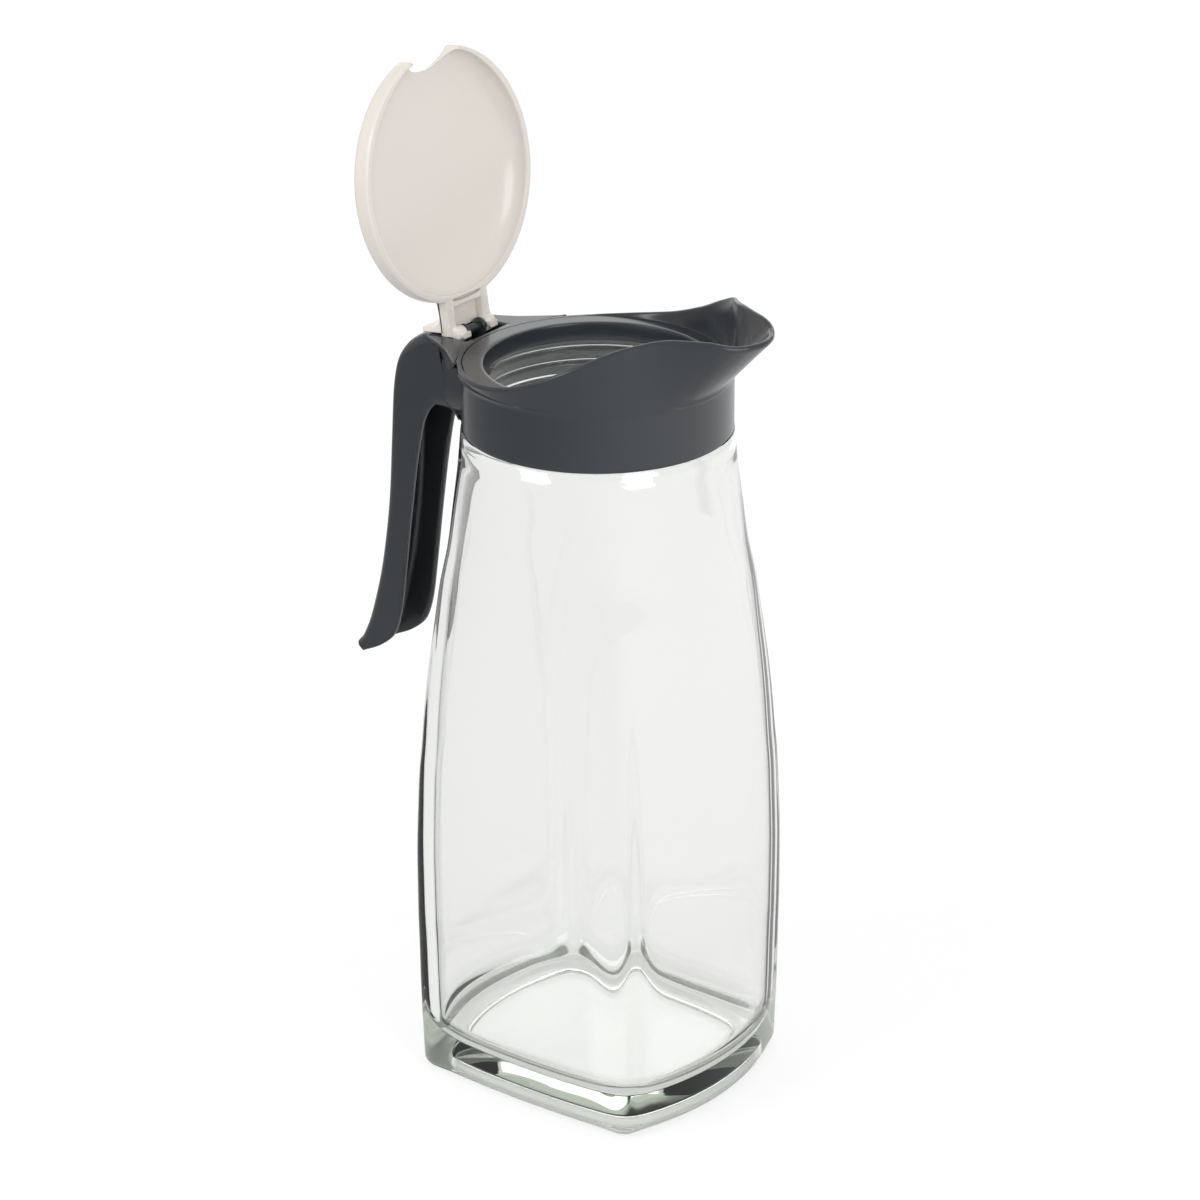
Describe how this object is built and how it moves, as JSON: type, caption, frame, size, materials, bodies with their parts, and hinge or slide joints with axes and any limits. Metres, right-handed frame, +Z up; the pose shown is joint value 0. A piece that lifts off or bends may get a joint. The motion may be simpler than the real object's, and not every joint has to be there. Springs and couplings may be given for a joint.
{
  "type": "lidded glass jug",
  "caption": "Tall glass jug with a rounded square body, a plastic screw collar with a flared spout and a hooked handle, and a hinged flip lid.",
  "frame": {"origin": "on the standing plane, on the jug's upright centre line", "axes": "+Z up, +X towards the spout, -X towards the handle, lid hinge along Y"},
  "size_m": [0.1739, 0.1004, 0.3593],
  "materials": {
    "clear_glass": "polished, faintly green at thick edges",
    "seal": "soft matt",
    "dark_plastic": "gloss moulding, dark slate grey",
    "white_plastic": "gloss moulding, warm white"
  },
  "bodies": {
    "glass": {"glass_body": "clear_glass"},
    "seal": {"neck_seal": "seal"},
    "collar": {"collar": "dark_plastic"},
    "lid": {"lid": "white_plastic"}
  },
  "joints": [
    {"name": "collar_lift", "type": "slide", "parent": "glass", "child": "seal", "axis": [0, 0, 1], "range_m": [0, 0.006]},
    {"name": "collar_turn", "type": "hinge", "parent": "seal", "child": "collar", "pos_m": [0, 0, 0.26], "axis": [0, 0, 1], "range_deg": [0, 360]},
    {"name": "lid_hinge", "type": "hinge", "parent": "collar", "child": "lid", "pos_m": [-0.0537, 0, 0.2631], "axis": [0, 1, 0], "range_deg": [0, 97.9]}
  ],
  "couplings": [
    {"joint": "collar_lift", "follows": "collar_turn", "m_per_rad": 0.000954}
  ]
}
